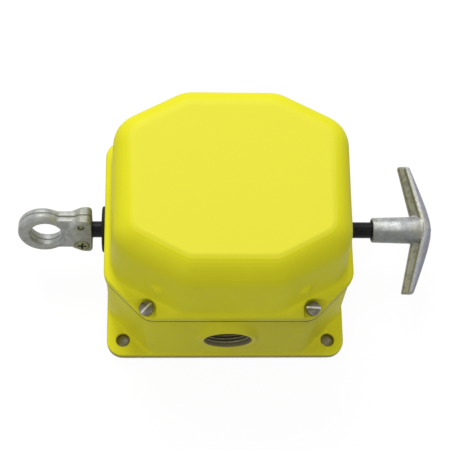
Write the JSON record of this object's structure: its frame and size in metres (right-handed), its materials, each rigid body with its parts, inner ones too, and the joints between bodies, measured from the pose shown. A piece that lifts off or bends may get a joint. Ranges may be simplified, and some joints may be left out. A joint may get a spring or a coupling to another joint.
{
  "type": "rope pull switch",
  "caption": "Cable operated safety switch in a square-flanged octagonal housing, with a rope eye on one end of its sliding shaft and a reset T-handle on the other.",
  "frame": {"origin": "centre of the flat mounting face, in the middle of the four mounting holes", "axes": "+X along the pull shaft from the rope eye to the T-handle, -Y out of the conduit entry, +Z out of the cover's top"},
  "size_m": [0.2433, 0.1396, 0.1077],
  "materials": {
    "yellow_powder_coat": "satin powder coat",
    "gasket_rubber": "matt",
    "seal_rubber": "matt",
    "stainless_screws": "turned stainless steel",
    "plated_steel": "zinc plated",
    "green_plating": "green dyed plating",
    "bushing_bronze": "sintered bronze",
    "black_oxide_steel": "black oxide, oiled",
    "cam_steel": "milled steel",
    "spring_steel": "drawn spring wire",
    "phenolic": "moulded phenolic",
    "insulating_board": "pressed board",
    "red_nylon": "moulded nylon",
    "roller_nylon": "turned nylon",
    "terminal_brass": "stamped brass",
    "cast_grey_metal": "die cast, tumbled",
    "cast_aluminium": "sand cast, rough"
  },
  "bodies": {
    "housing": {"base_housing": "yellow_powder_coat", "cover": "yellow_powder_coat", "cover_gasket": "gasket_rubber", "cover_screws": "stainless_screws", "left_bushing": "bushing_bronze", "right_bushing": "bushing_bronze", "left_seal": "seal_rubber", "right_seal": "seal_rubber", "mechanism_frame": "plated_steel", "frame_screws": "plated_steel", "ground_screw": "green_plating", "toggle_pivot": "plated_steel", "toggle_clip": "plated_steel", "spring_post": "plated_steel", "post_nuts": "plated_steel", "front_switch": "phenolic", "rear_switch": "phenolic", "insulators": "insulating_board", "switch_screws": "plated_steel", "switch_nuts": "plated_steel", "lever_pins": "plated_steel", "terminals": "terminal_brass", "terminal_screws": "plated_steel"},
    "shaft_group": {"pull_shaft": "black_oxide_steel", "shaft_rings": "plated_steel", "cam_block": "cam_steel", "cam_pins": "plated_steel", "fork_spool": "bushing_bronze", "spool_pin": "plated_steel", "t_handle": "cast_aluminium", "handle_screw": "black_oxide_steel"},
    "eye_group": {"eye_front_half": "cast_grey_metal", "eye_rear_half": "cast_grey_metal", "eye_screws": "plated_steel"},
    "toggle_group": {"toggle_fork": "cam_steel"},
    "spring_group": {"toggle_spring": "spring_steel"},
    "front_lever_group": {"front_lever": "plated_steel", "front_roller_pin": "plated_steel"},
    "rear_lever_group": {"rear_lever": "plated_steel", "rear_roller_pin": "plated_steel"},
    "front_roller_group": {"front_roller": "roller_nylon"},
    "rear_roller_group": {"rear_roller": "roller_nylon"},
    "front_plunger_group": {"front_plunger": "red_nylon"},
    "rear_plunger_group": {"rear_plunger": "red_nylon"}
  },
  "joints": [
    {"name": "shaft_pull", "type": "slide", "parent": "housing", "child": "shaft_group", "axis": [-1, 0, 0], "range_m": [0, 0.01]},
    {"name": "eye_swivel", "type": "hinge", "parent": "shaft_group", "child": "eye_group", "pos_m": [-0.07845, 0, 0.03], "axis": [1, 0, 0], "continuous": true},
    {"name": "toggle_swing", "type": "hinge", "parent": "housing", "child": "toggle_group", "pos_m": [-0.035, 0, 0.05], "axis": [0, 1, 0], "range_deg": [0, 28.09]},
    {"name": "spring_swing", "type": "hinge", "parent": "housing", "child": "spring_group", "pos_m": [-0.035, -0.02045, 0.074], "axis": [0, 1, 0], "range_deg": [0, 8.25]},
    {"name": "front_lever_lift", "type": "hinge", "parent": "housing", "child": "front_lever_group", "pos_m": [0.031, -0.0085, 0.04686], "axis": [0, 1, 0], "range_deg": [0, 4.23]},
    {"name": "rear_lever_lift", "type": "hinge", "parent": "housing", "child": "rear_lever_group", "pos_m": [0.031, 0.0095, 0.04686], "axis": [0, 1, 0], "range_deg": [0, 4.23]},
    {"name": "front_roller_turn", "type": "hinge", "parent": "front_lever_group", "child": "front_roller_group", "pos_m": [-0.00298, -0.0085, 0.04561], "axis": [0, 1, 0], "range_deg": [0, 113.92]},
    {"name": "rear_roller_turn", "type": "hinge", "parent": "rear_lever_group", "child": "rear_roller_group", "pos_m": [-0.00298, 0.0095, 0.04561], "axis": [0, 1, 0], "range_deg": [0, 113.92]},
    {"name": "front_plunger_lift", "type": "slide", "parent": "housing", "child": "front_plunger_group", "axis": [0, 0, 1], "range_m": [0, 0.0012]},
    {"name": "rear_plunger_lift", "type": "slide", "parent": "housing", "child": "rear_plunger_group", "axis": [0, 0, 1], "range_m": [0, 0.0012]}
  ],
  "couplings": [
    {"joint": "toggle_swing", "follows": "shaft_pull", "rad_per_m": 48.996},
    {"joint": "spring_swing", "follows": "shaft_pull", "rad_per_m": 14.368},
    {"joint": "front_lever_lift", "follows": "shaft_pull", "rad_per_m": 7.3546},
    {"joint": "rear_lever_lift", "follows": "shaft_pull", "rad_per_m": 7.3546},
    {"joint": "front_roller_turn", "follows": "shaft_pull", "rad_per_m": 198.8},
    {"joint": "rear_roller_turn", "follows": "shaft_pull", "rad_per_m": 198.8},
    {"joint": "front_plunger_lift", "follows": "shaft_pull", "ratio": 0.1177},
    {"joint": "rear_plunger_lift", "follows": "shaft_pull", "ratio": 0.1177}
  ]
}
